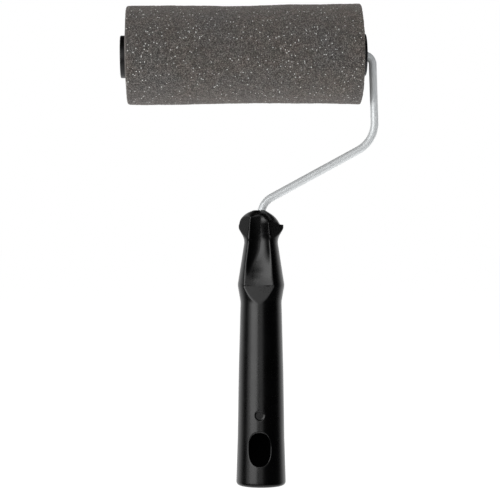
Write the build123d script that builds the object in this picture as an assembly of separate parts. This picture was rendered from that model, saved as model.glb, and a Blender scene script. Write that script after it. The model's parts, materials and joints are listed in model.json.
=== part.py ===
from build123d import *
import math
import os

# Foam paint roller on a bent wire frame, in millimetres.
# Origin: centre of the pole socket's mouth, in the handle's lower end.
# +Z runs up the handle towards the roller, +X across it towards the side where the wire bends,
# and -Y is the front, where the thumb scoop and the hanging hole are.

# ---- Driving dimensions -------------------------------------------------------------------------

AXLE_Z = 273.2  # height of the roller's axis above the handle's end, where it meets the arm
AXLE_DROOP = 0.75  # degrees that the axle slopes down towards the free side

FOAM_LENGTH = 150.0
FOAM_RADIUS = 31.0
FOAM_EDGE_RADIUS = 1.5
FOAM_INNER_X = 63.8  # foam face on the frame's side
FOAM_OUTER_X = FOAM_INNER_X - FOAM_LENGTH  # foam face on the free side

CORE_RADIUS = 13.0  # plastic tube that the foam is glued on
CORE_WALL = 1.5
CORE_BORE_RADIUS = CORE_RADIUS - CORE_WALL

CAP_FLANGE_RADIUS = 13.4
CAP_FLANGE_THICKNESS = 2.8
CAP_EDGE_RADIUS = 0.7
CAP_SPIGOT_WALL = 1.7
CAP_SPIGOT_LENGTH = 7.0
HUB_RADIUS = 6.0
RIB_COUNT = 6
RIB_THICKNESS = 1.3

BUSH_RADIUS = 4.0
BUSH_FLANGE_RADIUS = 5.4
BUSH_FLANGE_THICKNESS = 1.0
RUNNING_CLEARANCE = 0.08  # radial, between a bush and the rod

ROD_DIAMETER = 5.0
ROD_RADIUS = ROD_DIAMETER / 2
AXLE_END_X = -83.6
ARM_TOP = (71.0, AXLE_Z)  # corner between the axle and the arm beside the roller
ARM_BOTTOM = (72.6, 218.3)  # corner between that arm and the slanting stretch
HANDLE_CORNER = (0.0, 178.7)  # corner between the slanting stretch and the shank
SHANK_END_Z = 114.0
BEND_RADII = (6.4, 20.0, 12.7)  # at those three corners, on the rod's centreline
EAR_SIZE = (8.4, 2.0, 9.0)  # flattened ears that stop the shank turning in the handle
EAR_Z = 128.0
ROD_CHAMFER = 0.6

HANDLE_TWIST = -6.0  # degrees about the shank, as the handle sits pressed on
SOCKET_RADIUS = 11.5  # takes the end of an extension pole
SOCKET_DEPTH = 70.0
RELIEF_RADIUS = 8.5  # narrower hollow above the socket
RELIEF_TOP_Z = 106.0
HANDLE_FOOT_RADIUS = 2.4  # rounding of the handle's lower rim

HANG_HOLE_WIDTH = 13.5
HANG_HOLE_HEIGHT = 20.8
HANG_HOLE_Z = 24.1
GATE_MARK_RADIUS = 3.2
GATE_MARK_DEPTH = 0.35
GATE_MARK_Z = 45.3

WASHER_RADIUS = 6.0
WASHER_THICKNESS = 0.8
PUSH_NUT_RADIUS = 6.6
PUSH_NUT_THICKNESS = 0.5
PUSH_NUT_DISH = 0.9
PUSH_NUT_FINGERS = 6
AXIAL_PLAY = 0.2

# ---- Places that follow from them ---------------------------------------------------------------

INNER_CAP_FACE_X = FOAM_INNER_X + CAP_FLANGE_THICKNESS
OUTER_CAP_FACE_X = FOAM_OUTER_X - CAP_FLANGE_THICKNESS
INNER_BUSH_FACE_X = 64.4  # just short of where the rod starts to bend
BUSH_LENGTH = 12.0
HUB_LENGTH = BUSH_LENGTH - BUSH_FLANGE_THICKNESS
CARRIER_RING_LENGTH = 10.0
CARRIER_RING_WALL = 1.5
CARRIER_FACE_X = -77.6  # outer face of the carrier's hub
OUTER_BUSH_FACE_X = CARRIER_FACE_X - BUSH_FLANGE_THICKNESS
WASHER_X = OUTER_BUSH_FACE_X - AXIAL_PLAY
PUSH_NUT_X = WASHER_X - WASHER_THICKNESS


# ---- Helpers for turned shapes on the roller's axis ---------------------------------------------
# They are built level, and on_axle then slopes them with the axle.


def on_axle(made):
    """Turns a shape that was built level on the roller's axis to the axle's slope."""
    return Pos(ARM_TOP[0], 0, AXLE_Z) * Rot(0, -AXLE_DROOP, 0) * Pos(-ARM_TOP[0], 0, -AXLE_Z) * made


def disc(x_low, x_high, radius):
    """Solid cylinder on the roller's axis, from x_low to x_high."""
    middle = (x_low + x_high) / 2
    return Pos(middle, 0, AXLE_Z) * Rot(0, 90, 0) * Cylinder(radius, x_high - x_low)


def ring(x_low, x_high, outer, bore):
    """Hollow cylinder on the roller's axis."""
    return disc(x_low, x_high, outer) - disc(x_low - 1, x_high + 1, bore)


def turned(points):
    """Solid of revolution about the roller's axis from a closed outline of (x, radius) points."""
    outline = Polyline(*[(x, 0, AXLE_Z + r) for x, r in points], close=True)
    return revolve(make_face(outline), Axis((0, 0, AXLE_Z), (1, 0, 0)))


def ribs(x_low, x_high, inner, outer):
    """Radial ribs between a hub and the ring round it."""
    made = Part()
    for i in range(RIB_COUNT):
        bar = Box(x_high - x_low, RIB_THICKNESS, outer - inner)
        angle = 360.0 / RIB_COUNT * i
        place = Pos((x_low + x_high) / 2, 0, AXLE_Z) * Rot(angle, 0, 0)
        made += place * Pos(0, 0, (inner + outer) / 2) * bar
    return made


def edges_at(part, x, radius):
    """The circular edges of a turned part at that x and radius."""
    found = part.edges().filter_by(GeomType.CIRCLE)
    return [
        e
        for e in found
        if abs(e.arc_center.X - x) < 0.01 and abs(e.radius - radius) < 0.01
    ]


# ---- Roller -------------------------------------------------------------------------------------


def foam_sleeve():
    sleeve = ring(FOAM_OUTER_X, FOAM_INNER_X, FOAM_RADIUS, CORE_RADIUS)
    rims = edges_at(sleeve, FOAM_OUTER_X, FOAM_RADIUS) + edges_at(
        sleeve, FOAM_INNER_X, FOAM_RADIUS
    )
    return fillet(rims, FOAM_EDGE_RADIUS)


def core_tube():
    return ring(FOAM_OUTER_X, FOAM_INNER_X, CORE_RADIUS, CORE_BORE_RADIUS)


def inner_end_cap():
    """Cap on the frame's side: flange, press-in spigot, ribbed hub and a dish where the rod bends."""
    spigot_low = FOAM_INNER_X - CAP_SPIGOT_LENGTH
    spigot_bore = CORE_BORE_RADIUS - CAP_SPIGOT_WALL
    hub_low = INNER_BUSH_FACE_X - BUSH_LENGTH
    flange = disc(FOAM_INNER_X, INNER_CAP_FACE_X, CAP_FLANGE_RADIUS)
    flange = fillet(
        edges_at(flange, INNER_CAP_FACE_X, CAP_FLANGE_RADIUS), CAP_EDGE_RADIUS
    )
    cap = flange + ring(spigot_low, FOAM_INNER_X, CORE_BORE_RADIUS, spigot_bore)
    cap += disc(hub_low, FOAM_INNER_X, HUB_RADIUS)
    cap += ribs(spigot_low + 1, FOAM_INNER_X, HUB_RADIUS - 0.5, spigot_bore + 0.5)
    seat_x = INNER_BUSH_FACE_X - BUSH_FLANGE_THICKNESS
    cap -= disc(hub_low - 1, seat_x, BUSH_RADIUS)
    cap -= disc(seat_x, INNER_BUSH_FACE_X, BUSH_FLANGE_RADIUS)
    dish_mouth = BUSH_FLANGE_RADIUS + 1.2
    cap -= turned(
        [
            (INNER_BUSH_FACE_X, 0),
            (INNER_BUSH_FACE_X, BUSH_FLANGE_RADIUS),
            (INNER_CAP_FACE_X, dish_mouth),
            (INNER_CAP_FACE_X + 1, dish_mouth),
            (INNER_CAP_FACE_X + 1, 0),
        ]
    )
    return cap


def outer_end_cap():
    """Closed dust cap on the free side, with a shallow dimple in the middle of its face."""
    spigot_high = FOAM_OUTER_X + CAP_SPIGOT_LENGTH
    flange = disc(OUTER_CAP_FACE_X, FOAM_OUTER_X, CAP_FLANGE_RADIUS)
    flange = fillet(
        edges_at(flange, OUTER_CAP_FACE_X, CAP_FLANGE_RADIUS), CAP_EDGE_RADIUS
    )
    cap = flange + ring(
        FOAM_OUTER_X, spigot_high, CORE_BORE_RADIUS, CORE_BORE_RADIUS - CAP_SPIGOT_WALL
    )
    return cap - disc(OUTER_CAP_FACE_X - 1, OUTER_CAP_FACE_X + 0.4, 2.0)


def bush(face_x, inward):
    """Flanged nylon bush. face_x is its flange's outer face, and inward is +1 or -1 along X."""
    bore = ROD_RADIUS + RUNNING_CLEARANCE
    seat_x = face_x + inward * BUSH_FLANGE_THICKNESS
    end_x = face_x + inward * BUSH_LENGTH
    return turned(
        [
            (face_x, bore),
            (face_x, BUSH_FLANGE_RADIUS),
            (seat_x, BUSH_FLANGE_RADIUS),
            (seat_x, BUSH_RADIUS),
            (end_x, BUSH_RADIUS),
            (end_x, bore),
        ]
    )


def outer_bearing_carrier():
    """Ribbed disc pressed into the core tube, which holds the outer bush."""
    ring_high = CARRIER_FACE_X + CARRIER_RING_LENGTH
    hub_high = CARRIER_FACE_X + HUB_LENGTH
    ring_bore = CORE_BORE_RADIUS - CARRIER_RING_WALL
    carrier = ring(CARRIER_FACE_X, ring_high, CORE_BORE_RADIUS, ring_bore)
    carrier += disc(CARRIER_FACE_X, hub_high, HUB_RADIUS)
    carrier += ribs(CARRIER_FACE_X + 1, ring_high - 1, HUB_RADIUS - 0.5, ring_bore + 0.5)
    return carrier - disc(CARRIER_FACE_X - 1, hub_high + 1, BUSH_RADIUS)


# ---- Frame --------------------------------------------------------------------------------------


def thrust_washer():
    return ring(WASHER_X - WASHER_THICKNESS, WASHER_X, WASHER_RADIUS, ROD_RADIUS + 0.2)


def push_nut():
    """Dished spring washer whose fingers bite on the axle's end and keep the roller on."""
    tip_x = PUSH_NUT_X - PUSH_NUT_DISH
    dish = turned(
        [
            (PUSH_NUT_X, PUSH_NUT_RADIUS),
            (PUSH_NUT_X, PUSH_NUT_RADIUS - 1.2),
            (tip_x, ROD_RADIUS),
            (tip_x - PUSH_NUT_THICKNESS, ROD_RADIUS),
            (PUSH_NUT_X - PUSH_NUT_THICKNESS, PUSH_NUT_RADIUS - 1.2),
            (PUSH_NUT_X - PUSH_NUT_THICKNESS, PUSH_NUT_RADIUS),
        ]
    )
    slot_top = PUSH_NUT_RADIUS - 1.8
    for i in range(PUSH_NUT_FINGERS):
        slot = Box(6 * PUSH_NUT_DISH, 0.8, slot_top)
        angle = 360.0 / PUSH_NUT_FINGERS * i
        dish -= (
            Pos(PUSH_NUT_X, 0, AXLE_Z)
            * Rot(angle, 0, 0)
            * Pos(0, 0, slot_top / 2)
            * slot
        )
    return dish


def frame_rod():
    """Round wire: axle, bend, arm, bend, slanting stretch, bend and the shank in the handle."""
    slope = math.radians(AXLE_DROOP)
    reach = ARM_TOP[0] - AXLE_END_X
    corners = [
        (ARM_TOP[0] - reach * math.cos(slope), 0, AXLE_Z - reach * math.sin(slope)),
        (ARM_TOP[0], 0, ARM_TOP[1]),
        (ARM_BOTTOM[0], 0, ARM_BOTTOM[1]),
        (HANDLE_CORNER[0], 0, HANDLE_CORNER[1]),
        (0, 0, SHANK_END_Z),
    ]
    path = FilletPolyline(*corners, radius=list(BEND_RADII))
    along = (math.cos(slope), 0, math.sin(slope))
    section = Plane(origin=corners[0], z_dir=along) * Circle(ROD_RADIUS)
    rod = sweep(section, path=path)
    ends = rod.edges().filter_by(GeomType.CIRCLE)
    axle_end = ends.sort_by(Axis.X)[0]
    shank_end = ends.sort_by(Axis.Z)[0]
    rod = chamfer([axle_end, shank_end], ROD_CHAMFER)
    return rod + Pos(0, 0, EAR_Z) * Box(*EAR_SIZE)


# ---- Handle -------------------------------------------------------------------------------------

# Outline of the grip from the foot up to the dome, as (radius, height), and the rounding at each corner.
GRIP_FOOT = (15.75, 0.0)
GRIP_CORNERS = (
    ((14.8, 30.0), 600.0),
    ((14.15, 72.0), 900.0),
    ((12.98, 116.2), 14.0),  # waist
    ((14.85, 126.8), 7.0),  # shoulder
    ((10.35, 155.7), 9.0),  # neck
    ((14.45, 162.9), 2.2),  # rim of the head
)
DOME_SEAM = (14.25, 165.2)

# Sections of the domed head above its rim, as (height, offset along X, radius). It leans to -X, which
# leaves a narrow ledge on the rim at +X.
DOME_SECTIONS = (
    (165.2, -0.9, 13.1),
    (168.2, -1.4, 11.75),
    (170.8, -1.6, 9.5),
    (172.7, -1.65, 6.8),
    (174.2, -1.15, 3.75),
)

# Front scoop: a hollow for the thumb up the neck and head, and a flat facet that runs out below it.
# Sections of the hollow, as (height, half-width at its ridges, depth of the ridges, hollow between them).
SCOOP_SECTIONS = (
    (126.4, 9.7, 11.0, 0.12),
    (129.6, 9.5, 10.65, 0.45),
    (133.0, 9.25, 10.15, 0.9),
    (141.0, 8.35, 9.05, 2.0),
    (148.0, 7.4, 8.6, 2.6),
    (155.0, 6.7, 8.5, 2.8),
    (161.0, 6.4, 9.5, 3.1),
    (164.5, 6.3, 10.3, 3.2),
    (168.0, 6.25, 11.2, 3.2),
    (174.6, 6.25, 12.4, 3.2),
)
SCOOP_OVERRUN = 1.15  # how far the cutter reaches past the ridges
SCOOP_REACH = 22.0  # front of the cutter, beyond the handle
FACET_TOP = (10.88, 126.4)  # (depth, height) of the facet's upper edge
FACET_SLOPE = 0.195  # how much the facet comes forward for each millimetre down
FACET_DROP = 20.0


def scoop_section(height, half_width, ridge_depth, hollow):
    """Face of the scoop's cutter at one height: a shallow arc at the back, open to the front."""
    arc_radius = (half_width**2 + hollow**2) / (2 * hollow)
    reach = min(SCOOP_OVERRUN * half_width, 0.97 * arc_radius)
    rise = arc_radius - math.sqrt(arc_radius**2 - reach**2)
    deepest = ridge_depth - hollow
    back = ThreePointArc(
        (-reach, -(deepest + rise)), (0, -deepest), (reach, -(deepest + rise))
    )
    front = Polyline(
        (reach, -(deepest + rise)),
        (reach, -SCOOP_REACH),
        (-reach, -SCOOP_REACH),
        (-reach, -(deepest + rise)),
    )
    return Pos(0, 0, height) * make_face(back + front)


def scoop_cutter():
    hollow = loft([scoop_section(*s) for s in SCOOP_SECTIONS])
    depth, top = FACET_TOP
    foot = depth + FACET_SLOPE * FACET_DROP
    profile = Polyline(
        (0, -depth, top),
        (0, -foot, top - FACET_DROP),
        (0, -SCOOP_REACH, top - FACET_DROP),
        (0, -SCOOP_REACH, top),
        close=True,
    )
    return hollow + extrude(make_face(profile), amount=SCOOP_REACH / 2, both=True)


def grip_solid():
    """Grip from the foot to the rim of the head, turned about the handle's axis."""
    foot = Line((0, 0), GRIP_FOOT)
    corners = [point for point, _ in GRIP_CORNERS]
    side = FilletPolyline(
        GRIP_FOOT, *corners, DOME_SEAM, radius=[r for _, r in GRIP_CORNERS]
    )
    close = Polyline(DOME_SEAM, (0, DOME_SEAM[1]), (0, 0))
    outline = Plane.XZ * make_face(foot + side + close)
    grip = revolve(outline, Axis.Z)
    rim = [
        e
        for e in grip.edges().filter_by(GeomType.CIRCLE)
        if abs(e.arc_center.Z) < 0.01 and abs(e.radius - GRIP_FOOT[0]) < 0.01
    ]
    return fillet(rim, HANDLE_FOOT_RADIUS)


def dome_solid():
    return loft([Pos(x, 0, z) * Circle(r) for z, x, r in DOME_SECTIONS])


def hollow_solid():
    """Pole socket and the narrower hollow above it."""
    socket = Pos(0, 0, SOCKET_DEPTH / 2) * Cylinder(SOCKET_RADIUS, SOCKET_DEPTH)
    step = SOCKET_RADIUS - RELIEF_RADIUS
    cone = Pos(0, 0, SOCKET_DEPTH + step / 2) * Cone(SOCKET_RADIUS, RELIEF_RADIUS, step)
    relief_low = SOCKET_DEPTH + step
    height = RELIEF_TOP_Z - relief_low
    relief = Pos(0, 0, relief_low + height / 2) * Cylinder(RELIEF_RADIUS, height)
    return socket + cone + relief


def hang_hole():
    """Upright slot through the front wall into the socket."""
    slot = SlotOverall(HANG_HOLE_HEIGHT, HANG_HOLE_WIDTH, rotation=90)
    face = Plane(origin=(0, 0, HANG_HOLE_Z), x_dir=(1, 0, 0), z_dir=(0, -1, 0)) * slot
    return extrude(face, amount=GRIP_FOOT[0] + 2)


def gate_mark(grip_radius):
    """Shallow round recess in the front, left by the mould's gate."""
    face = Plane(
        origin=(0, -(grip_radius - GATE_MARK_DEPTH), GATE_MARK_Z),
        x_dir=(1, 0, 0),
        z_dir=(0, -1, 0),
    ) * Circle(GATE_MARK_RADIUS)
    return extrude(face, amount=3)


def handle(rod):
    body = grip_solid() + dome_solid()
    front = scoop_cutter()
    body -= front
    body -= Rot(0, 0, 180) * front
    body -= hang_hole()
    body -= gate_mark(14.5)
    body = Rot(0, 0, HANDLE_TWIST) * (body - hollow_solid())
    return body - rod


# ---- Write every sub-part -----------------------------------------------------------------------


def main():
    os.makedirs("parts", exist_ok=True)
    rod = frame_rod()
    nodes = {
        "foam_sleeve": on_axle(foam_sleeve()),
        "core_tube": on_axle(core_tube()),
        "inner_end_cap": on_axle(inner_end_cap()),
        "outer_end_cap": on_axle(outer_end_cap()),
        "inner_bearing_bush": on_axle(bush(INNER_BUSH_FACE_X, -1)),
        "outer_bearing_bush": on_axle(bush(OUTER_BUSH_FACE_X, 1)),
        "outer_bearing_carrier": on_axle(outer_bearing_carrier()),
        "thrust_washer": on_axle(thrust_washer()),
        "axle_push_nut": on_axle(push_nut()),
        "frame_rod": rod,
        "handle": handle(rod),
    }
    for name, shape in nodes.items():
        shape.label = name
        export_step(shape, f"parts/{name}.step")


main()
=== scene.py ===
import json
import math

import bmesh
import bpy
import numpy as np
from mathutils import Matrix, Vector, noise

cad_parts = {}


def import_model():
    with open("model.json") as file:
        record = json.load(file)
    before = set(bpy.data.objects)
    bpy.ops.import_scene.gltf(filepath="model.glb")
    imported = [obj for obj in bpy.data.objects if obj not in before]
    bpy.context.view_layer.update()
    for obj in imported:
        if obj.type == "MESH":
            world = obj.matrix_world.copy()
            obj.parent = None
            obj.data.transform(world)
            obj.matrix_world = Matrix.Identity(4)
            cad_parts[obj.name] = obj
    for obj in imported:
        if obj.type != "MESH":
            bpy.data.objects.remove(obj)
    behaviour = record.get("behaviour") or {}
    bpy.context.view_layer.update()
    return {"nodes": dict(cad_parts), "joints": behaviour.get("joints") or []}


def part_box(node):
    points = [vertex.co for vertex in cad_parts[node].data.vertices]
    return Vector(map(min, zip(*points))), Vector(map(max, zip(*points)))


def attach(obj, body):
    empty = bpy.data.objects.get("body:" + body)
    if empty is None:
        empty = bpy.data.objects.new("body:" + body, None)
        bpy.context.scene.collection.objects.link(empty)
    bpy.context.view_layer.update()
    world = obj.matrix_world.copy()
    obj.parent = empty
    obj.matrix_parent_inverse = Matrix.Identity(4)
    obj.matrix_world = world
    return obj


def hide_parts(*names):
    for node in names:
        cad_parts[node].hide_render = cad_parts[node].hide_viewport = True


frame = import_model()

# A foam paint roller on a bent wire frame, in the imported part's own frame: the handle stands on z = 0,
# +X points to the side where the wire bends, and -Y is the front. Shapes are worked out in millimetres and
# turned into Blender's metres when a mesh is built.

NODES = frame["nodes"]
MM = 0.001
SEED = 7
ARC_POINTS = 25  # along each rounded corner


# ---- Shader helpers -----------------------------------------------------------------------------


class Shader:
    """A material's node tree, built with short calls. Scales are per metre, and bump distances in metres."""

    def __init__(self, name):
        self.material = bpy.data.materials.new(name)
        self.material.use_nodes = True
        self.tree = self.material.node_tree
        self.tree.nodes.clear()
        output = self.tree.nodes.new("ShaderNodeOutputMaterial")
        self.surface = self.tree.nodes.new("ShaderNodeBsdfPrincipled")
        self.tree.links.new(self.surface.outputs["BSDF"], output.inputs["Surface"])
        self.place = self.tree.nodes.new("ShaderNodeTexCoord").outputs["Object"]

    def put(self, socket, value):
        """Links a node's output to a socket, or sets the socket to a value."""
        if isinstance(value, bpy.types.NodeSocket):
            self.tree.links.new(value, socket)
        else:
            socket.default_value = value

    def set(self, **values):
        """Sets the principled shader's sockets; an underscore stands for a space."""
        for name, value in values.items():
            self.put(self.surface.inputs[name.replace("_", " ")], value)

    def scaled(self, factors):
        """The object coordinate, stretched by factors."""
        node = self.tree.nodes.new("ShaderNodeMapping")
        node.inputs["Scale"].default_value = factors
        self.put(node.inputs["Vector"], self.place)
        return node.outputs["Vector"]

    def noise(self, scale, detail=2.0, roughness=0.5, vector=None):
        """Cloudy values round 0.5."""
        node = self.tree.nodes.new("ShaderNodeTexNoise")
        self.put(node.inputs["Vector"], vector or self.place)
        node.inputs["Scale"].default_value = scale
        node.inputs["Detail"].default_value = detail
        node.inputs["Roughness"].default_value = roughness
        return node.outputs["Fac"]

    def cells(self, scale, output="Distance"):
        """Distance to the middle of the nearest cell, or that cell's own random Color."""
        node = self.tree.nodes.new("ShaderNodeTexVoronoi")
        self.put(node.inputs["Vector"], self.place)
        node.inputs["Scale"].default_value = scale
        return node.outputs[output]

    def ramp(self, factor, *stops):
        """Colour ramp; each stop is (position, colour) or (position, grey)."""
        node = self.tree.nodes.new("ShaderNodeValToRGB")
        self.put(node.inputs["Fac"], factor)
        points = node.color_ramp.elements
        while len(points) < len(stops):
            points.new(1.0)
        for point, (position, colour) in zip(points, stops):
            point.position = position
            grey = isinstance(colour, (int, float))
            point.color = (colour, colour, colour, 1.0) if grey else (*colour, 1.0)
        return node.outputs["Color"]

    def range(self, value, low, high, to_low, to_high):
        """Stretches the span from low to high over the one from to_low to to_high."""
        node = self.tree.nodes.new("ShaderNodeMapRange")
        for name, number in zip(
            ("Value", "From Min", "From Max", "To Min", "To Max"),
            (value, low, high, to_low, to_high),
        ):
            self.put(node.inputs[name], number)
        return node.outputs["Result"]

    def mix(self, factor, a, b, blend="MIX"):
        """Colour a where factor is 0, and b, blended in as blend says, where it is 1."""
        node = self.tree.nodes.new("ShaderNodeMix")
        node.data_type = "RGBA"
        node.blend_type = blend
        self.put(node.inputs["Factor"], factor)
        self.put(node.inputs["A"], a if isinstance(a, bpy.types.NodeSocket) else (*a, 1.0))
        self.put(node.inputs["B"], b if isinstance(b, bpy.types.NodeSocket) else (*b, 1.0))
        return node.outputs["Result"]

    def math(self, operation, a, b):
        node = self.tree.nodes.new("ShaderNodeMath")
        node.operation = operation
        self.put(node.inputs[0], a)
        self.put(node.inputs[1], b)
        return node.outputs["Value"]

    def bump(self, height, distance, strength, normal=None):
        """Normal of a surface with this relief, on top of the relief that normal holds."""
        node = self.tree.nodes.new("ShaderNodeBump")
        self.put(node.inputs["Height"], height)
        node.inputs["Distance"].default_value = distance
        node.inputs["Strength"].default_value = strength
        if normal is not None:
            self.put(node.inputs["Normal"], normal)
        return node.outputs["Normal"]


# ---- Materials ----------------------------------------------------------------------------------


def black_plastic(name, roughness, grain, gloss=0.5):
    """Moulded black polypropylene: semi-gloss, with faint flow clouds, fine grain, scuffs and dust."""
    s = Shader(name)
    cloud = s.noise(55.0, 3.0, 0.6)
    scuff = s.noise(900.0, 4.0, 0.7, s.scaled((1.0, 1.0, 0.12)))
    dust = s.ramp(s.noise(2600.0, 1.0), (0.72, 0.0), (0.78, 1.0))
    base = s.mix(cloud, (0.0003, 0.0003, 0.00035), (0.0007, 0.0007, 0.0008))
    s.set(
        Base_Color=s.mix(s.math("MULTIPLY", dust, 0.006), base, (0.2, 0.2, 0.2)),
        Roughness=s.math(
            "ADD",
            s.range(cloud, 0.3, 0.7, roughness - 0.03, roughness + 0.04),
            s.range(scuff, 0.6, 0.85, 0.0, 0.08),
        ),
        IOR=1.49,
        Specular_IOR_Level=gloss,
        Normal=s.bump(s.noise(grain, 2.0), 0.00002, 0.25),
    )
    return s.material


def foam_material():
    """Dark grey-brown open-cell foam: each cell has its own tone, with painted shade darkening the pores and
    pale painted glints on a few cells.
    """
    s = Shader("foam_cells")
    drift = s.noise(28.0, 3.0, 0.6)
    hue = s.noise(210.0, 2.0, 0.5)
    mottle = s.noise(600.0, 3.0, 0.7)
    pores = s.cells(1400.0)
    fine = s.cells(2600.0)
    brown = s.mix(hue, (0.079, 0.062, 0.055), (0.066, 0.067, 0.059))
    grey = s.mix(hue, (0.071, 0.064, 0.06), (0.062, 0.063, 0.062))
    tint = s.mix(s.ramp(drift, (0.35, 0.0), (0.65, 1.0)), brown, grey)
    shade = s.ramp(mottle, (0.3, 0.82), (0.7, 1.15))
    grain = s.ramp(s.cells(1900.0, output="Color"), (0.05, 0.3), (0.5, 0.85), (0.95, 2.6))
    # painted shade: the middle of each pore, the pit that the bump below sinks, is darkened in the colour
    hollow = s.ramp(pores, (0.0, 0.6), (0.35, 1.0), (0.8, 1.25))
    porous = s.mix(1.0, s.mix(1.0, tint, shade, "MULTIPLY"), grain, "MULTIPLY")
    porous = s.mix(1.0, porous, hollow, "MULTIPLY")
    # painted glints: a few cells, picked at random, get a pale spot that stands in for sparkling highlights
    chosen = s.ramp(s.cells(1000.0, output="Color"), (0.81, 0.0), (0.84, 1.0))
    painted_glint = s.math("MULTIPLY", chosen, s.ramp(s.cells(1000.0), (0.28, 1.0), (0.4, 0.0)))
    s.set(
        Base_Color=s.mix(painted_glint, porous, (0.72, 0.72, 0.7)),
        Roughness=0.92,
        Specular_IOR_Level=0.25,
        Sheen_Weight=0.25,
        Sheen_Roughness=0.6,
        Sheen_Tint=(0.9, 0.82, 0.78, 1.0),
        Normal=s.bump(fine, 0.00016, 0.6, s.bump(pores, 0.0004, 0.8, s.bump(mottle, 0.0004, 0.4))),
    )
    return s.material


def zinc_wire():
    """Zinc plate on drawn wire: light grey, satin and faintly cloudy."""
    s = Shader("zinc_wire")
    cloud = s.noise(90.0, 3.0, 0.6)
    s.set(
        Base_Color=s.mix(cloud, (0.66, 0.685, 0.695), (0.74, 0.76, 0.77)),
        Metallic=0.35,
        Roughness=s.range(cloud, 0.3, 0.7, 0.4, 0.46),
        Normal=s.bump(s.noise(400.0, 2.0), 0.00002, 0.06),
    )
    return s.material


def spring_steel():
    """Dark, lightly oiled spring steel."""
    s = Shader("spring_steel")
    cloud = s.noise(300.0, 3.0)
    s.set(
        Base_Color=s.mix(cloud, (0.16, 0.165, 0.18), (0.3, 0.3, 0.31)),
        Metallic=1.0,
        Roughness=s.range(cloud, 0.3, 0.7, 0.3, 0.45),
        Normal=s.bump(s.noise(2200.0, 2.0), 0.00002, 0.3),
    )
    return s.material


def nylon():
    """Natural off-white nylon, a little translucent."""
    s = Shader("natural_nylon")
    cloud = s.noise(200.0, 2.0)
    s.set(
        Base_Color=s.mix(cloud, (0.68, 0.66, 0.58), (0.76, 0.74, 0.67)),
        Roughness=s.range(cloud, 0.3, 0.7, 0.35, 0.45),
        Subsurface_Weight=0.15,
        Subsurface_Radius=(0.001, 0.001, 0.001),
        Normal=s.bump(s.noise(2400.0, 2.0), 0.00003, 0.3),
    )
    return s.material


def core_plastic():
    """Extruded grey polypropylene, streaked along the tube."""
    s = Shader("core_polypropylene")
    streak = s.noise(260.0, 3.0, 0.6, s.scaled((0.05, 1.0, 1.0)))
    s.set(
        Base_Color=s.mix(streak, (0.3, 0.3, 0.29), (0.42, 0.42, 0.4)),
        Roughness=s.range(streak, 0.3, 0.7, 0.45, 0.6),
        Normal=s.bump(streak, 0.00005, 0.4),
    )
    return s.material


# ---- Mesh helpers -------------------------------------------------------------------------------


class Skin:
    """Gathers the points (in millimetres) and faces of one closed mesh."""

    def __init__(self):
        self.blocks = []
        self.faces = []
        self.slots = []  # material slot of each face
        self.slot = 0  # and of the faces that are made next
        self.count = 0

    def add(self, points):
        """Takes points in an array of any layout and gives back their numbers in the same layout."""
        points = np.asarray(points, dtype=float)
        numbers = np.arange(self.count, self.count + points[..., 0].size)
        self.blocks.append(points.reshape(-1, 3))
        self.count += numbers.size
        return numbers.reshape(points.shape[:-1])

    def join(self, a, b, keep=None):
        """Quads between two closed rows of points; keep says which of them are wanted."""
        quads = np.stack([a, np.roll(a, -1), np.roll(b, -1), b], axis=1)
        quads = quads if keep is None else quads[keep]
        self.faces.extend(quads.tolist())
        self.slots.extend([self.slot] * len(quads))

    def tube(self, rows):
        """Joins each row to the next."""
        for a, b in zip(rows[:-1], rows[1:]):
            self.join(a, b)

    def fan(self, row, centre):
        """Closes a row with triangles that meet at centre."""
        tip = int(self.add([centre])[0])
        self.faces.extend((int(i), int(j), tip) for i, j in zip(row, np.roll(row, -1)))
        self.slots.extend([self.slot] * len(row))

    def build(self, name, *materials, sharp=50.0):
        """The finished object. Edges that turn by more than sharp degrees stay sharp."""
        points = np.concatenate(self.blocks)
        used = np.zeros(len(points), dtype=bool)
        used[[i for face in self.faces for i in face]] = True
        renumber = np.cumsum(used) - 1
        faces = [[int(renumber[i]) for i in face] for face in self.faces]
        mesh = bpy.data.meshes.new(name)
        mesh.from_pydata((points[used] * MM).tolist(), [], faces)
        shell = bmesh.new()
        shell.from_mesh(mesh)
        bmesh.ops.recalc_face_normals(shell, faces=shell.faces)
        shell.to_mesh(mesh)
        shell.free()
        mesh.polygons.foreach_set("use_smooth", [True] * len(mesh.polygons))
        mesh.set_sharp_from_angle(angle=math.radians(sharp))
        for material in materials:
            mesh.materials.append(material)
        mesh.polygons.foreach_set("material_index", self.slots)
        piece = bpy.data.objects.new(name, mesh)
        bpy.context.scene.collection.objects.link(piece)
        return piece


def rounded(corners, radii):
    """Points along a flat polyline whose inner corners are rounded."""
    corners = [complex(*corner) for corner in corners]
    path = [corners[0]]
    for before, corner, after, radius in zip(corners, corners[1:], corners[2:], radii):
        u = (corner - before) / abs(corner - before)
        v = (after - corner) / abs(after - corner)
        turn = np.angle(v / u)
        start = corner - u * radius * abs(math.tan(turn / 2))
        centre = start + 1j * u * math.copysign(radius, turn)
        for part in np.linspace(0.0, 1.0, ARC_POINTS):
            path.append(centre + (start - centre) * np.exp(1j * turn * part))
    path.append(corners[-1])
    return np.array([(p.real, p.imag) for p in path])


def walk(path, spacing):
    """Points along a path, as far apart as spacing(point) says."""
    ends = np.concatenate([[0.0], np.cumsum(np.linalg.norm(np.diff(path, axis=0), axis=1))])
    place, found = 0.0, []
    shortest = 0.3 * spacing(path[-1])  # that the last stretch may be
    while place < ends[-1] - shortest:
        point = np.array([np.interp(place, ends, column) for column in path.T])
        found.append(point)
        place += spacing(point)
    found.append(path[-1])
    return np.array(found)


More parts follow.
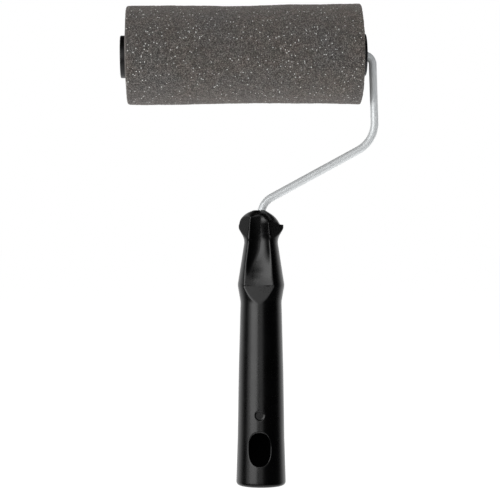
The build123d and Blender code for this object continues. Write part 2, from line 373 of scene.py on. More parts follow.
def curve_through(table, where):
    """Smooth values at where from a table of rows whose first column rises."""
    table = np.asarray(table, dtype=float)
    at, values = table[:, 0], table[:, 1:]
    slopes = np.gradient(values, at, axis=0)
    where = np.clip(where, at[0], at[-1])
    i = np.clip(np.searchsorted(at, where, side="right") - 1, 0, len(at) - 2)
    width = at[i + 1] - at[i]
    t = ((where - at[i]) / width)[..., None]
    width = width[..., None]
    return (
        (2 * t**3 - 3 * t**2 + 1) * values[i]
        + (t**3 - 2 * t**2 + t) * width * slopes[i]
        + (3 * t**2 - 2 * t**3) * values[i + 1]
        + (t**3 - t**2) * width * slopes[i + 1]
    )


def step(value, low, high):
    """Eases from 0 at low to 1 at high."""
    t = np.clip((value - low) / (high - low), 0.0, 1.0)
    return t * t * (3 - 2 * t)


def noise_at(points, size, shift):
    """Smooth noise of about -1 to 1 at each point, with bumps about size millimetres across."""
    offset = Vector((SEED * 3.1 + shift, SEED * 1.7, -SEED * 2.3))
    flat = np.asarray(points).reshape(-1, 3) / size
    values = [noise.noise(Vector(p) + offset) for p in flat.tolist()]
    return np.array(values).reshape(np.shape(points)[:-1])


# ---- Handle -------------------------------------------------------------------------------------

HANDLE_TWIST = math.radians(-6.0)  # about its own axis, as it sits pressed on the rod
GRIP_FOOT = (15.75, 0.0)  # (radius, height)
FOOT_ROUNDING = 2.4
# (radius, height) of the outline's corners, and the rounding at each
GRIP_CORNERS = (
    ((14.8, 30.0), 600.0),
    ((14.15, 72.0), 900.0),
    ((12.98, 116.2), 14.0),
    ((14.85, 126.8), 7.0),
    ((10.35, 155.7), 9.0),
    ((14.45, 162.9), 2.2),
)
RIM = (14.25, 165.2)  # (radius, height)
RIM_ROUNDING = 0.35
RIM_LEAD = 0.02  # by which its rows stay outside the dome, where that reaches out to them
LEDGE_RISE = 0.16  # of the ledge above the rim, so that its rows stay apart where the scoop cuts them
DOME_ROW_STEP = 0.36
DOME_EASING_ROUNDS = 10
DOME_EASED_FROM = 9  # first of the dome's rows that is evened out; those of the ledge are left as they are
# (height, offset along X, radius) of the dome above the rim
DOME_SECTIONS = (
    (165.2, -0.9, 13.1),
    (168.2, -1.4, 11.75),
    (170.8, -1.6, 9.5),
    (172.7, -1.65, 6.8),
    (174.2, -1.15, 3.75),
)
# (height, its left and right edges and its deepest line along X, how far that line lies in front of the
# axis) up the thumb scoop
SCOOP_SECTIONS = (
    (126.4, -10.0, 8.8, -3.0, 10.75),
    (129.6, -10.0, 8.5, -4.3, 10.2),
    (133.8, -9.7, 8.0, -4.8, 8.95),
    (138.8, -9.3, 7.5, -4.2, 7.35),
    (144.0, -8.7, 6.9, -2.5, 6.1),
    (149.0, -8.1, 6.4, -0.9, 5.4),
    (154.0, -7.6, 5.9, -0.2, 5.25),
    (158.0, -7.3, 5.9, 0.2, 5.65),
    (162.0, -6.9, 5.7, 0.4, 6.45),
    (166.0, -6.6, 5.4, 0.2, 7.3),
    (170.0, -6.2, 4.9, -0.1, 8.15),
    (174.6, -4.2, 2.8, -0.5, 9.1),
)
# How much of each wall's mean slope it already has at the deepest line: the left wall, and the right one
# in the neck and in the head
LEFT_START = 0.5
RIGHT_START_NECK, RIGHT_START_HEAD = 0.1, 0.7
RIGHT_WALL_STRETCH = (152.0, 164.0)  # heights between which one gives way to the other
FACET_TOP_Z = 126.4  # and the scoop's lower end
FACET_DEPTH = 10.88  # of the facet below the scoop, at its top
FACET_SLOPE = 0.195  # how much it comes forward for each millimetre down
FACET_TURN = -3.0  # degrees
# (direction in degrees, distance from the axis) of the flats each side of the scoop in the head
FLANKS = ((-48.0, 10.78), (50.5, 11.19))
FLANK_START_Z, FLANK_FULL_Z = 150.0, 160.0  # they lean back into the neck between these heights
FLANK_BEND = 0.0195  # how quickly their slope changes there, per millimetre
WIDEST_EDGE = 0.8  # how far out the scoop's edges may lie, as a share of how far the row itself reaches
FACET_ROUNDING = 0.4  # reach of the smoothing that rounds the facet's edges
RIDGE_ROUNDING = 0.8  # the scoop's ridges
HEAD_ROUNDING = 0.3  # and the ridges where they fade out over the head
# Heights between which each gives way to the next
SHOULDER_STRETCH = (124.0, 134.0)
HEAD_STRETCH = (157.0, 167.0)

SOCKET_RADIUS = 11.5  # of the pole's socket
SOCKET_TOP = 70.0
SOCKET_CHAMFER = 0.5
RELIEF_RADIUS = 8.5  # of the narrower hollow above the socket
RELIEF_TOP = 106.0
ROD_HOLE_RADIUS = 2.52
ROD_HOLE_TOP = DOME_SECTIONS[-1][0] - 0.1
ROD_HOLE_BOTTOM = 114.0
# Heights of a ring part of the way up each of the three, which keeps their faces from being too long
SOCKET_MIDDLE, RELIEF_MIDDLE, ROD_HOLE_MIDDLE = 54.0, 90.0, 160.0

HOLE_WIDTH = 13.5  # of the hanging hole
HOLE_HEIGHT = 20.8
HOLE_Z = 24.1
HOLE_SQUARENESS = 2.45  # 2 is an ellipse
HOLE_ROUNDING = 0.85
HOLE_MARGIN = 3.0  # of the patch above and below it that is meshed to suit it
HOLE_LOOPS = 12  # from that patch's border to the hole's rim
MARK_Z = 45.3  # height of the round gate mark
MARK_RADIUS = 3.2
MARK_SLOPE = 0.6  # width of the mark's sloping edge
MARK_PLANE = 13.95  # distance of the mark's flat floor from the axis
SEAM_HEIGHT = 0.04  # of the mould's parting line up each side
SEAM_STRETCH = (3.0, 6.0)  # heights between which it rises from the foot

COLUMNS = 280
WINDOW_COLUMNS = 35  # each side of the front, round the hanging hole
ANGLES = np.arange(COLUMNS) * 2 * math.pi / COLUMNS  # from the front towards +X
BESIDE_WINDOW = (np.arange(COLUMNS) >= WINDOW_COLUMNS) & (np.arange(COLUMNS) < COLUMNS - WINDOW_COLUMNS)
FINE_COLUMNS = 1800  # for the outlines that the scoop is cut out of
FINE_ANGLES = np.arange(FINE_COLUMNS) * 2 * math.pi / FINE_COLUMNS
# (up to this height, distance between rows), finest where the shape has most to show
ROW_SPACINGS = (
    (2.2, 0.4),
    (9.5, 1.3),
    (39.0, 0.8),
    (41.5, 1.0),
    (49.0, 0.32),
    (108.0, 2.3),
    (121.5, 0.6),
    (131.0, 0.33),
    (157.5, 0.55),
    (180.0, 0.38),
)
SCOOP_START_Z = 109.0  # the rows above this are cut by the scoop, or by the facet below it
OUT_OF_REACH = 99.0  # a distance beyond any outline
LEAST_TURN = 0.01  # of a wall of the scoop, so that the radius of a straight one isn't endless
OUTSIDE, INSIDE = 0, 1  # the handle's material slots


def row_spacing(point):
    """How far apart the handle's rows are at a point (radius, height) of its outline."""
    z = point[1]
    return next(spacing for top, spacing in ROW_SPACINGS if z < top)


def around(radius, z):
    """Points round the handle's axis from radii and heights, one row for each row of the arrays."""
    radius, z, angle = np.broadcast_arrays(radius, z, ANGLES)
    return np.stack([radius * np.sin(angle), -radius * np.cos(angle), z], axis=-1)


def offset_circle(offset, radius):
    """Distance from the axis to a circle whose centre is moved along X, in each of FINE_ANGLES."""
    along, across = np.sin(FINE_ANGLES), np.cos(FINE_ANGLES)
    return offset * along + np.sqrt(radius**2 - (offset * across) ** 2)


def flat_reach(turn, distance):
    """Distance from the axis, in each of FINE_ANGLES, to an upright flat that faces turn degrees aside."""
    ahead = np.cos(FINE_ANGLES - math.radians(turn))
    least = 0.05  # in directions that run nearly along the flat, it counts as out of reach
    return np.where(ahead > least, distance / np.maximum(ahead, least), OUT_OF_REACH)


def wall_reach(deepest, edge, chord, start):
    """Distance from the axis to the arc that runs from the scoop's deepest line to its edge.

    It is hollow while that line lies below the chord between the edges, and bulges once it is above.
    chord points from one edge to the other. start is the share of the wall's mean slope, against the
    chord, that the arc has at the deepest line.
    """
    rise = edge - deepest
    out = np.array([-chord[1], chord[0]])
    slope = start * math.atan2(rise @ out, abs(rise @ chord)) * math.copysign(1.0, rise @ chord)
    open_side = math.cos(slope) * out - math.sin(slope) * chord
    turned = open_side @ rise
    turned = math.copysign(max(abs(turned), LEAST_TURN), turned)
    radius = rise @ rise / (2 * turned)
    centre = deepest + radius * open_side
    along = centre[0] * np.sin(FINE_ANGLES) + centre[1] * np.cos(FINE_ANGLES)
    inside = along**2 - centre @ centre + radius**2
    reach = along - math.copysign(1.0, radius) * np.sqrt(np.maximum(inside, 0.0))
    return np.where((inside > 0) & (reach > 0), reach, OUT_OF_REACH)


def scoop_edges(outline, left, right):
    """The scoop's two edges on a row's outline, as (along X, in front of the axis)."""
    front = np.cos(FINE_ANGLES) > 0.2  # where X rises steadily with the angle
    aside = (outline * np.sin(FINE_ANGLES))[front]
    ahead = (outline * np.cos(FINE_ANGLES))[front]
    order = np.argsort(aside)
    left = max(left, WIDEST_EDGE * aside.min())
    right = min(right, WIDEST_EDGE * aside.max())
    return [np.array([x, np.interp(x, aside[order], ahead[order])]) for x in (left, right)]


def cut_front(outline, z):
    """The outline of one row, in each of FINE_ANGLES, once the scoop or the facet below it is cut out."""
    if z < FACET_TOP_Z:
        return np.minimum(outline, flat_reach(FACET_TURN, FACET_DEPTH + FACET_SLOPE * (FACET_TOP_Z - z)))
    if z > FLANK_START_Z:
        lean = 0.5 * FLANK_BEND * max(FLANK_FULL_Z - z, 0.0) ** 2
        for turn, distance in FLANKS:
            outline = np.minimum(outline, flat_reach(turn, distance + lean))
    left, right, deepest, floor = curve_through(SCOOP_SECTIONS, np.array([z]))[0]
    edges = scoop_edges(outline, left, right)
    chord = (edges[1] - edges[0]) / np.linalg.norm(edges[1] - edges[0])
    bottom = np.array([deepest, floor])
    head = step(z, *RIGHT_WALL_STRETCH)
    right_start = RIGHT_START_NECK * (1 - head) + RIGHT_START_HEAD * head
    bearing = (FINE_ANGLES + math.pi) % (2 * math.pi) - math.pi
    walls = np.where(
        bearing < math.atan2(*bottom),
        wall_reach(bottom, edges[0], chord, LEFT_START),
        wall_reach(bottom, edges[1], chord, right_start),
    )
    between = (bearing > math.atan2(*edges[0])) & (bearing < math.atan2(*edges[1]))
    return np.where(between, np.minimum(outline, walls), outline)


def evenly_spread(outline):
    """(x, y) points evenly spread along an outline, and how far apart they are."""
    points = np.stack([outline * np.sin(FINE_ANGLES), -outline * np.cos(FINE_ANGLES)], axis=1)
    points = np.concatenate([points, points[:1]])
    length = np.concatenate([[0.0], np.cumsum(np.linalg.norm(np.diff(points, axis=0), axis=1))])
    even = np.linspace(0.0, length[-1], COLUMNS + 1)[:-1]
    return np.stack([np.interp(even, length, points[:, i]) for i in (0, 1)], axis=1), length[-1] / COLUMNS


def cut_section(outline, z):
    """One row of the handle as (x, y) points.

    outline gives the uncut radius in each of FINE_ANGLES. The scoop and its twin at the back are cut
    out, and the ridges are then rounded by smoothing the section.
    """
    half = FINE_COLUMNS // 2
    outline = np.minimum(cut_front(outline, z), np.roll(cut_front(np.roll(outline, half), z), half))
    points, apart = evenly_spread(outline)
    reach = FACET_ROUNDING + (RIDGE_ROUNDING - FACET_ROUNDING) * step(z, *SHOULDER_STRETCH)
    reach += (HEAD_ROUNDING - RIDGE_ROUNDING) * step(z, *HEAD_STRETCH)
    passes = 2 * (reach / apart) ** 2
    for share in [1.0] * int(passes) + [passes % 1.0]:
        between = (np.roll(points, 1, axis=0) + np.roll(points, -1, axis=0)) / 2
        points = points + 0.5 * share * (between - points)
    return points


def cut_scoops(radius, z):
    """Points of the rows of the neck and head. radius is given in each of FINE_ANGLES."""
    rows = [cut_section(outline, height) for outline, height in zip(radius, z)]
    return np.stack([np.column_stack([row, np.full(COLUMNS, h)]) for row, h in zip(rows, z)])


def eased_rows(points, first):
    """Evens the rows from number first up, which rounds the edge where the scoop runs out."""
    points = points.copy()
    for _ in range(DOME_EASING_ROUNDS):
        between = (points[first - 1 : -2, :, :2] + points[first + 1 :, :, :2]) / 2
        points[first:-1, :, :2] += 0.5 * (between - points[first:-1, :, :2])
    return points


def grip_rows():
    """Radius and height of each point, row by row, from the bore's mouth up to the rim."""
    corners = [(SOCKET_RADIUS + SOCKET_CHAMFER, 0.0), GRIP_FOOT]
    corners += [corner for corner, _ in GRIP_CORNERS] + [(RIM[0], RIM[1] - RIM_ROUNDING)]
    path = rounded(corners, [FOOT_ROUNDING] + [r for _, r in GRIP_CORNERS])
    rows = walk(path, row_spacing)
    return rows[:, :1], rows[:, 1:]


def dome_rows():
    """Radius in each of FINE_ANGLES, and height, of the rows from the rim over the dome."""
    base = offset_circle(*DOME_SECTIONS[0][1:])
    round_rim = np.full(FINE_ANGLES.shape, RIM[0])
    radii, heights = [], []
    for part in (0.35, 0.7, 1.0):
        turn = part * math.pi / 2
        drawn_in = RIM_ROUNDING * (1 - math.cos(turn))
        radii.append(np.maximum(round_rim - drawn_in, base + RIM_LEAD * (3 - 2 * part)))
        heights.append(RIM[1] - LEDGE_RISE - (RIM_ROUNDING - LEDGE_RISE) * (1 - math.sin(turn)))
    edge = radii[-1]
    for part in (0.25, 0.5, 0.75):
        radii.append(edge * (1 - part) + base * part)
        heights.append(RIM[1] - LEDGE_RISE * (1 - part))
    table = np.array(DOME_SECTIONS)
    reach = np.concatenate([[0.0], np.cumsum(np.hypot(*np.diff(table[:, (0, 2)], axis=0).T))])
    places = np.linspace(0.0, reach[-1], int(reach[-1] / DOME_ROW_STEP))
    for z, offset, radius in curve_through(np.column_stack([reach, table]), places):
        radii.append(offset_circle(offset, radius))
        heights.append(z)
    return np.array(radii), np.array(heights)


def gate_mark(radius, z):
    """Sinks the flat round mark that the mould's gate left in the front."""
    radius, z, angle = np.broadcast_arrays(radius, z, ANGLES)
    away = np.hypot(radius * np.sin(angle), z - MARK_Z)
    away = np.where(np.cos(angle) > 0, away, OUT_OF_REACH)
    flat = radius * np.cos(angle) - MARK_PLANE
    inside = 1 - step(away, MARK_RADIUS - MARK_SLOPE, MARK_RADIUS)
    return radius - np.maximum(flat, 0.0) * inside


def parting_line(points):
    """Raises the fine seam where the mould's halves met, up both sides."""
    points = points.copy()
    for column in (COLUMNS // 4, 3 * COLUMNS // 4):
        side = math.copysign(SEAM_HEIGHT, points[0, column, 0])
        points[:, column, 0] += side * step(points[:, column, 2], *SEAM_STRETCH)
    return points


def slot_edge(toward, grow):
    """Points (x, z) of the hanging hole's oval outline, widened by grow, in the given directions."""
    toward = toward / np.linalg.norm(toward, axis=1)[:, None]
    half = np.array([HOLE_WIDTH, HOLE_HEIGHT]) / 2 + grow
    reach = (np.abs(toward / half) ** HOLE_SQUARENESS).sum(axis=1) ** (-1 / HOLE_SQUARENESS)
    return toward * reach[:, None] + (0.0, HOLE_Z)


def window_loop(low, high):
    """(row, column) of each grid point round the patch that holds the hanging hole."""
    half = WINDOW_COLUMNS
    loop = [(low, c) for c in range(-half, half + 1)]
    loop += [(r, half) for r in range(low + 1, high + 1)]
    loop += [(high, c) for c in range(half - 1, -half - 1, -1)]
    loop += [(r, -half) for r in range(high - 1, low, -1)]
    rows, columns = np.array(loop).T
    return rows, columns % COLUMNS


def on_front(flat, radius, sunk=0.0):
    """Points (x, z) laid on the front of a round surface, and sunk into it."""
    return np.column_stack([flat[:, 0], sunk - np.sqrt(radius**2 - flat[:, 0] ** 2), flat[:, 1]])


def hole_rim(skin, row, border, grip_radius):
    """Fills the outer window, from its border, and rounds the hole's rim. Gives back the last loop."""
    toward = border - (0.0, HOLE_Z)
    rim = slot_edge(toward, HOLE_ROUNDING)
    loops = [row]
    for part in np.linspace(0.0, 1.0, HOLE_LOOPS)[1:]:
        flat = border + (rim - border) * part
        loops.append(skin.add(on_front(flat, grip_radius(flat[:, 1]))))
    for turn in np.radians([15, 30, 45, 60, 75, 90]):
        flat = slot_edge(toward, HOLE_ROUNDING * (1 - math.sin(turn)))
        sunk = HOLE_ROUNDING * (1 - math.cos(turn))
        loops.append(skin.add(on_front(flat, grip_radius(flat[:, 1]), sunk)))
    skin.slot = OUTSIDE
    skin.tube(loops)
    return loops[-1]


def hanging_hole(skin, outer, inner, grip_radius):
    """Fills both windows up to the hole's edge and joins the two with its wall.

    outer and inner are each a window's border: its point numbers, and its points as (x, z).
    """
    walls = [hole_rim(skin, *outer, grip_radius)]
    edge = slot_edge(outer[1] - (0.0, HOLE_Z), 0.0)
    lip = on_front(edge, grip_radius(edge[:, 1]), HOLE_ROUNDING)
    foot = on_front(edge, SOCKET_RADIUS)
    for part in (0.25, 0.5, 0.75, 1.0):
        walls.append(skin.add(lip + (foot - lip) * part))
    inner_row, inner_edge = inner
    for part in (0.33, 0.67):
        flat = edge + (inner_edge - edge) * part
        walls.append(skin.add(on_front(flat, SOCKET_RADIUS)))
    skin.slot = INSIDE
    skin.tube([*walls, inner_row])


def handle_outside(skin, radius, z, window):
    """The outer surface and the rod's hole. Gives back the points up to the rim, and their numbers."""
    skin.slot = OUTSIDE
    neck = int(np.searchsorted(z[:, 0], SCOOP_START_Z))
    grip = around(gate_mark(radius[:neck], z[:neck]), z[:neck])
    head = cut_scoops(np.repeat(radius[neck:], FINE_COLUMNS, axis=1), z[neck:, 0])
    points = parting_line(np.concatenate([grip, head]))
    outer = skin.add(points)
    low, high = window
    for i in range(len(outer) - 1):
        skin.join(outer[i], outer[i + 1], BESIDE_WINDOW if low <= i < high else None)
    dome = skin.add(eased_rows(cut_scoops(*dome_rows()), DOME_EASED_FROM))
    hole_z = np.array([[ROD_HOLE_TOP], [ROD_HOLE_MIDDLE], [ROD_HOLE_BOTTOM]])
    rod_hole = skin.add(around(ROD_HOLE_RADIUS, hole_z))
    skin.tube([outer[-1], *dome, rod_hole[0]])
    skin.slot = INSIDE
    skin.tube(rod_hole)
    skin.fan(rod_hole[-1], (0.0, 0.0, ROD_HOLE_BOTTOM))
    return points, outer


def handle_inside(skin, outer, z, window):
    """The pole socket and the relief above it. Gives back the socket's points, and their numbers."""
    skin.slot = INSIDE
    low, high = window
    bore_z = np.concatenate([[SOCKET_CHAMFER], z[low : high + 1, 0], [SOCKET_MIDDLE, SOCKET_TOP]])
    points = around(SOCKET_RADIUS, bore_z[:, None])
    inner = skin.add(points)
    for i in range(len(inner) - 1):
        skin.join(inner[i], inner[i + 1], BESIDE_WINDOW if 1 <= i < 1 + high - low else None)
    skin.join(outer[0], inner[0])
    cone_top = SOCKET_TOP + SOCKET_RADIUS - RELIEF_RADIUS
    ring = [RELIEF_RADIUS]
    relief_radius = np.array([ring, ring, ring, [RELIEF_RADIUS / 2]])
    relief_z = np.array([[cone_top], [RELIEF_MIDDLE], [RELIEF_TOP], [RELIEF_TOP]])
    relief = skin.add(around(relief_radius, relief_z))
    skin.tube([inner[-1], *relief])
    skin.fan(relief[-1], (0.0, 0.0, RELIEF_TOP))
    return points, inner


def handle_piece(outside, inside):
    """The moulded handle: turned grip, domed head, scoops, facets, pole socket and hanging hole."""
    skin = Skin()
    radius, z = grip_rows()
    low = int(np.searchsorted(z[:, 0], HOLE_Z - HOLE_HEIGHT / 2 - HOLE_MARGIN))
    high = int(np.searchsorted(z[:, 0], HOLE_Z + HOLE_HEIGHT / 2 + HOLE_MARGIN))

    def grip_radius(height):
        upright = z[:, 0] > FOOT_ROUNDING
        return np.interp(height, z[upright, 0], radius[upright, 0])

    outer_points, outer = handle_outside(skin, radius, z, (low, high))
    inner_points, inner = handle_inside(skin, outer, z, (low, high))
    rows, columns = window_loop(low, high)
    bore_rows = rows - low + 1
    hanging_hole(
        skin,
        (outer[rows, columns], outer_points[rows, columns][:, (0, 2)]),
        (inner[bore_rows, columns], inner_points[bore_rows, columns][:, (0, 2)]),
        grip_radius,
    )
    c, s = math.cos(HANDLE_TWIST), math.sin(HANDLE_TWIST)
    turn = np.array([[c, s, 0], [-s, c, 0], [0, 0, 1]])
    skin.blocks = [block @ turn for block in skin.blocks]
    piece = skin.build("handle_moulding", outside, inside)
    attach(piece, "frame")
    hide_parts("handle")


# ---- Foam sleeve --------------------------------------------------------------------------------

AXLE_POINT = np.array(frame["joints"][0]["pos_m"]) / MM
AXLE_ALONG = np.array(frame["joints"][0]["axis"])
FOAM_COLUMNS = 292
FOAM_STEP = 0.66  # between its rows, along the outside
FOAM_FACE_STEP = 1.1  # and over the cut ends
BORE_ROWS = 12  # along its bore, with both ends
# (place from the free end to the frame's end, change of radius, how far the foam sits above the axle)
FOAM_SHAPE = (
    (0.0, 0.1, 1.0),
    (0.15, 0.3, 0.7),
    (0.35, -0.05, 0.72),
    (0.52, -0.2, 0.65),
    (0.6, 0.0, 0.85),
    (0.66, 0.25, 0.9),
    (0.85, 0.35, 0.75),
    (1.0, 0.95, 0.4),
)
FREE_CORNER = 1.9  # rounding of the cut edge at the free end
FRAME_CORNER = 0.9  # and at the frame's end
# How far each cut end stands back from the CAD's: at the core, END_BEND above the core, and at the outside
FREE_SETBACK = (0.2, 0.35, 1.3)
FRAME_SETBACK = (0.1, 0.35, 0.75)
END_BEND = 3.5
END_BEND_ROUNDING = 6.0
OUTSIDE_DEPTH = 3.5  # under the outer radius, rows are as close together as on the outside
# (height, width, shift of the noise) of the outside's unevenness: slow waves, ripples and grain
FOAM_WAVES = ((0.22, 13.0, 0.0), (0.12, 4.2, 5.0), (0.1, 1.7, 9.0))
PIT_WIDTH = 1.45  # of the pits of cut cells
PIT_DEPTH = 0.17
PIT_EDGE = 0.3  # as a share of their width


def foam_size():
    """Where the foam's ends are along the axle, and its radii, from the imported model."""
    low, high = (np.array(corner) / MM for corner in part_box("foam_sleeve"))
    radius = (high[1] - low[1]) / 2
    slope = abs(AXLE_ALONG[2])
    length = (high[0] - low[0] - 2 * radius * slope) / AXLE_ALONG[0]
    middle = float(((low + high) / 2 - AXLE_POINT) @ AXLE_ALONG)
    core_low, core_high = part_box("core_tube")
    core = (core_high[1] - core_low[1]) / 2 / MM
    return middle - length / 2, middle + length / 2, radius, core


def foam_outline():
    """The sleeve's section, from one edge of the bore round to the other.

    Gives back its points and their outward directions, both as (along the axle, away from it), and the
    sleeve's sizes.
    """
    start, end, radius, core = foam_size()
    away = (core, core + END_BEND, radius)
    path = [(start + back, r) for back, r in zip(FREE_SETBACK, away)]
    path += reversed([(end - back, r) for back, r in zip(FRAME_SETBACK, away)])
    path = rounded(path, [END_BEND_ROUNDING, FREE_CORNER, FRAME_CORNER, END_BEND_ROUNDING])
    rows = walk(path, lambda point: FOAM_STEP if point[1] > radius - OUTSIDE_DEPTH else FOAM_FACE_STEP)
    ahead = np.gradient(rows, axis=0)
    ahead /= np.linalg.norm(ahead, axis=1)[:, None]
    outward = np.column_stack([-ahead[:, 1], ahead[:, 0]])
    return rows, outward, (start, end, radius, core)


def foam_surface(points):
    """How far the surface stands out at each point: its waves, less the pits of cut cells."""
    height = sum(tall * noise_at(points, wide, shift) for tall, wide, shift in FOAM_WAVES)
    offset = Vector((SEED * 0.7, SEED * 1.9, SEED * 0.3))
    pits = []
    for point in (points.reshape(-1, 3) / PIT_WIDTH).tolist():
        near, second = noise.voronoi(Vector(point) + offset)[0][:2]
        pits.append(min(1.0, (second - near) / PIT_EDGE))
    return height - PIT_DEPTH * np.array(pits).reshape(height.shape)


def foam_piece(material):
    """Foam sleeve glued on the core: a little out of round and off centre, with cut ends that bulge."""
    rows, outward, (start, end, radius, core) = foam_outline()
    angles = np.arange(FOAM_COLUMNS) * 2 * math.pi / FOAM_COLUMNS
    up = np.cross(AXLE_ALONG, (0.0, 1.0, 0.0))
    up *= math.copysign(1.0, up[2])
    spread = np.cos(angles)[:, None] * up + np.sin(angles)[:, None] * (0.0, 1.0, 0.0)
    grow, lift = curve_through(FOAM_SHAPE, (rows[:, 0] - start) / (end - start)).T
    share = np.clip((rows[:, 1] - core) / (radius - core), 0.0, 1.0)
    reach = rows[:, 1:] + (grow * share)[:, None] + (lift * share)[:, None] * np.cos(angles)
    points = AXLE_POINT + rows[:, 0, None, None] * AXLE_ALONG + reach[..., None] * spread[None]
    normal = outward[:, 0, None, None] * AXLE_ALONG + outward[:, 1, None, None] * spread[None]
    uneven = np.minimum(share * 4, 1.0)  # it starts from nothing at the core
    points += normal * (foam_surface(points) * uneven[:, None])[..., None]

    skin = Skin()
    outside = skin.add(points)
    bore = [
        AXLE_POINT + along * AXLE_ALONG + core * spread
        for along in np.linspace(rows[-1, 0], rows[0, 0], BORE_ROWS)[1:-1]
    ]
    inside = skin.add(bore)
    skin.tube([*outside, *inside, outside[0]])
    piece = skin.build("foam_cover", material, sharp=180.0)
    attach(piece, "roller")
    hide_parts("foam_sleeve")


# ---- Materials on the CAD nodes, and the two pieces made here -----------------------------------


def dress(material, *names):
    """Gives CAD nodes a material."""
    for name in names:
        mesh = NODES[name].data
        mesh.materials.clear()
        mesh.materials.append(material)


dress(
    black_plastic("cap_polypropylene", 0.38, 1400.0),
    "inner_end_cap",
    "outer_end_cap",
    "outer_bearing_carrier",
)
dress(zinc_wire(), "frame_rod", "thrust_washer")
dress(spring_steel(), "axle_push_nut")
dress(nylon(), "inner_bearing_bush", "outer_bearing_bush")
dress(core_plastic(), "core_tube")
handle_piece(
    black_plastic("handle_polypropylene", 0.27, 900.0),
    black_plastic("handle_bore_polypropylene", 0.7, 900.0, gloss=0.03),
)
foam_piece(foam_material())


# ---- Studio -------------------------------------------------------------------------------------

FLOOR_REACH = 60.0
SWEEP_LIGHT = 1.05  # strength of the sweep's white
ROOM_LIGHT = 0.004  # and of the dark round it
FOCAL_LENGTH, SENSOR_WIDTH = 116.4, 36.0
CAMERA_PLACE = Vector((-0.0456, -1.025, 0.149))
CAMERA_AIM = Vector((-0.007, 0.0, 0.149))
# Name, place, height on the tool's axis that it faces, size, power in watts, and whether gloss shows it
LAMPS = (
    ("softbox_left", (-0.85, -1.0, 0.33), 0.15, (0.95, 1.05), 10.2, True),
    ("softbox_edge", (-1.22, -0.5, 0.33), 0.15, (0.32, 1.05), 1.3, True),
    ("softbox_front", (-0.12, -1.6, 0.4), 0.15, (0.6, 1.3), 2.2, True),
    ("fill_right", (1.2, -0.9, 0.5), 0.2, (1.2, 1.2), 10.0, False),
    ("fill_above", (0.0, -0.5, 1.4), 0.2, (1.2, 1.0), 4.5, False),
    ("fill_below", (0.1, -0.1, -0.6), 0.2, (1.2, 1.2), 4.2, False),
)


def floor():
    """Wide white table, evenly lit. It throws no light on the tool: the sweep in world() does that."""
    side = FLOOR_REACH
    mesh = bpy.data.meshes.new("floor")
    corners = [(-side, -side, 0), (side, -side, 0), (side, side, 0), (-side, side, 0)]
    mesh.from_pydata(corners, [], [(0, 1, 2, 3)])
    plane = bpy.data.objects.new("floor", mesh)
    bpy.context.scene.collection.objects.link(plane)
    s = Shader("floor_white")
    s.set(
        Base_Color=(0.3, 0.3, 0.3, 1.0),
        Roughness=0.9,
        Specular_IOR_Level=0.0,
        Emission_Color=(1.0, 1.0, 1.0, 1.0),
        Emission_Strength=0.965,
    )
    mesh.materials.append(s.material)
    plane.visible_glossy = False
    plane.visible_diffuse = False
    plane.visible_transmission = False
    plane.visible_shadow = False


def softbox(name, place, facing, size, power, glossy):
    """Area light. Without glossy it only fills matt surfaces, and no gloss shows it."""
    light = bpy.data.lights.new(name, "AREA")
    light.shape = "RECTANGLE"
    light.size, light.size_y = size
    light.energy = power
    lamp = bpy.data.objects.new(name, light)
    lamp.location = place
    lamp.rotation_mode = "QUATERNION"
    lamp.rotation_quaternion = (Vector(place) - Vector((0, 0, facing))).to_track_quat("Z", "Y")
    lamp.visible_camera = False
    lamp.visible_glossy = glossy
    bpy.context.scene.collection.objects.link(lamp)


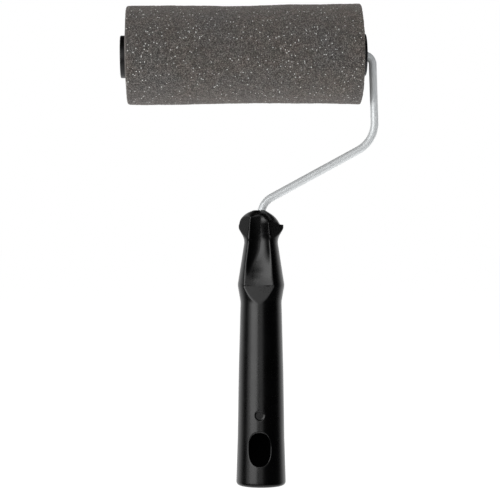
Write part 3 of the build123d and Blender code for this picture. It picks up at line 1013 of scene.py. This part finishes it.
class Sky:
    """The world's node tree. The values in it depend on the direction of a ray."""

    def __init__(self, name):
        sky = bpy.data.worlds.new(name)
        bpy.context.scene.world = sky
        sky.use_nodes = True
        self.nodes, self.links = sky.node_tree.nodes, sky.node_tree.links
        self.nodes.clear()
        split = self.nodes.new("ShaderNodeSeparateXYZ")
        self.put(split.inputs["Vector"], self.nodes.new("ShaderNodeTexCoord").outputs["Generated"])
        self.direction = split.outputs

    def put(self, socket, value):
        """Sets a socket to a number, or links a node's output to it."""
        if isinstance(value, float):
            socket.default_value = value
        else:
            self.links.new(value, socket)

    def eased(self, axis, low, high):
        """Eases from 0 to 1 as the direction's share along an axis goes from low to high."""
        ramp = self.nodes.new("ShaderNodeMapRange")
        ramp.interpolation_type = "SMOOTHSTEP"
        ramp.inputs["From Min"].default_value = low
        ramp.inputs["From Max"].default_value = high
        self.put(ramp.inputs["Value"], self.direction[axis])
        return ramp.outputs["Result"]

    def combine(self, operation, *values):
        node = self.nodes.new("ShaderNodeMath")
        node.operation = operation
        for socket, value in zip(node.inputs, values):
            self.put(socket, value)
        return node.outputs["Value"]

    def background(self, strength):
        node = self.nodes.new("ShaderNodeBackground")
        node.inputs["Color"].default_value = (1.0, 1.0, 1.0, 1.0)
        self.put(node.inputs["Strength"], strength)
        return node.outputs["Background"]


def world():
    """White to the camera. To all else it is a lit sweep: white behind and below, and pale at the left.

    +X is to the camera's right, +Y away from it and +Z up.
    """
    sky = Sky("studio")
    behind = sky.combine("MULTIPLY", sky.eased("Y", 0.06, 0.64), sky.eased("Z", 0.55, 0.2))
    left = sky.combine("MULTIPLY", sky.eased("X", -0.12, -0.4), sky.eased("Z", 0.85, 0.55))
    left = sky.combine("MULTIPLY", left, sky.eased("Z", 0.08, 0.3))
    left = sky.combine("MULTIPLY", sky.combine("MULTIPLY", left, sky.eased("Y", -0.1, 0.25)), 0.8)
    white = sky.combine("MAXIMUM", sky.combine("MAXIMUM", behind, left), sky.eased("Z", -0.5, -0.8))
    chosen = sky.nodes.new("ShaderNodeMixShader")
    sky.put(chosen.inputs["Fac"], sky.nodes.new("ShaderNodeLightPath").outputs["Is Camera Ray"])
    sky.put(chosen.inputs[1], sky.background(sky.combine("MULTIPLY_ADD", white, SWEEP_LIGHT, ROOM_LIGHT)))
    sky.put(chosen.inputs[2], sky.background(1.0))
    sky.put(sky.nodes.new("ShaderNodeOutputWorld").inputs["Surface"], chosen.outputs["Shader"])


def camera():
    """Level with the middle of the tool and a little to its left, about a metre away."""
    lens = bpy.data.cameras.new("camera")
    lens.sensor_width = SENSOR_WIDTH
    lens.lens = FOCAL_LENGTH
    lens.clip_start = 0.05
    lens.clip_end = 100.0
    cam = bpy.data.objects.new("camera", lens)
    cam.location = CAMERA_PLACE
    cam.rotation_mode = "QUATERNION"
    cam.rotation_quaternion = (CAMERA_AIM - CAMERA_PLACE).to_track_quat("-Z", "Y")
    bpy.context.scene.collection.objects.link(cam)
    bpy.context.scene.camera = cam


camera()
floor()
world()
for lamp_settings in LAMPS:
    softbox(*lamp_settings)
bpy.context.scene.view_settings.view_transform = "Standard"
